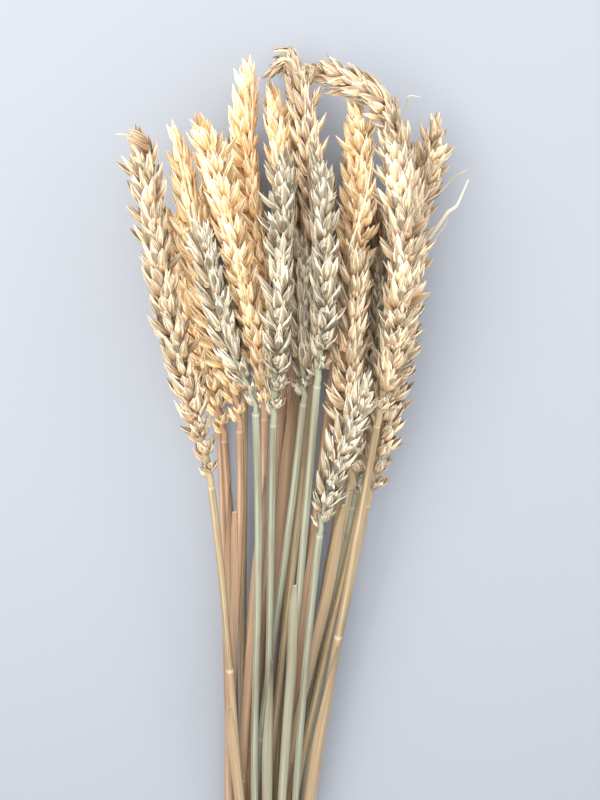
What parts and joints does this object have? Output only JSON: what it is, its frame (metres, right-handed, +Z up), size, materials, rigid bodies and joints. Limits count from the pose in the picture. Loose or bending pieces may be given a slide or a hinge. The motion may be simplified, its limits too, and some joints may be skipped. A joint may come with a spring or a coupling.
{
  "type": "bundle of dried wheat",
  "caption": "Lying bundle of dried wheat: straws with full short-awned ears, gathered by a natural twine binding, for display or styling.",
  "frame": {"origin": "on the surface that the bundle lies on, straight under the middle of the twine binding", "axes": "+Z up from the surface, +Y along the bundle from the binding towards the ears, +X to the right seen from above with the ears pointing away"},
  "size_m": [0.0933, 0.447, 0.063],
  "materials": {
    "ear_cream": "matte",
    "ear_gold": "matte",
    "ear_grey": "matte",
    "straw_cream": "satin",
    "straw_gold": "satin",
    "straw_grey": "satin",
    "twine": "matte"
  },
  "bodies": {
    "root": {"ear_01": "ear_gold", "straw_01": "straw_gold", "ear_02": "ear_cream", "straw_02": "straw_cream", "ear_03": "ear_grey", "straw_03": "straw_grey", "ear_04": "ear_cream", "straw_04": "straw_cream", "ear_05": "ear_gold", "straw_05": "straw_gold", "ear_06": "ear_cream", "straw_06": "straw_cream", "ear_07": "ear_grey", "straw_07": "straw_grey", "ear_08": "ear_gold", "straw_08": "straw_gold", "ear_09": "ear_gold", "straw_09": "straw_gold", "ear_10": "ear_gold", "straw_10": "straw_gold", "ear_11": "ear_cream", "straw_11": "straw_cream", "ear_12": "ear_gold", "straw_12": "straw_gold", "ear_13": "ear_grey", "straw_13": "straw_grey", "ear_14": "ear_cream", "straw_14": "straw_cream", "ear_15": "ear_gold", "straw_15": "straw_gold", "ear_16": "ear_gold", "straw_16": "straw_gold", "ear_17": "ear_grey", "straw_17": "straw_grey", "ear_18": "ear_cream", "straw_18": "straw_cream", "ear_19": "ear_cream", "straw_19": "straw_cream", "ear_20": "ear_cream", "straw_20": "straw_cream", "ear_21": "ear_cream", "straw_21": "straw_cream", "ear_22": "ear_cream", "straw_22": "straw_cream", "ear_23": "ear_grey", "straw_23": "straw_grey", "ear_24": "ear_grey", "straw_24": "straw_grey", "ear_25": "ear_grey", "straw_25": "straw_grey", "ear_26": "ear_grey", "straw_26": "straw_grey", "ear_27": "ear_cream", "straw_27": "straw_cream", "tie": "twine"}
  },
  "joints": []
}
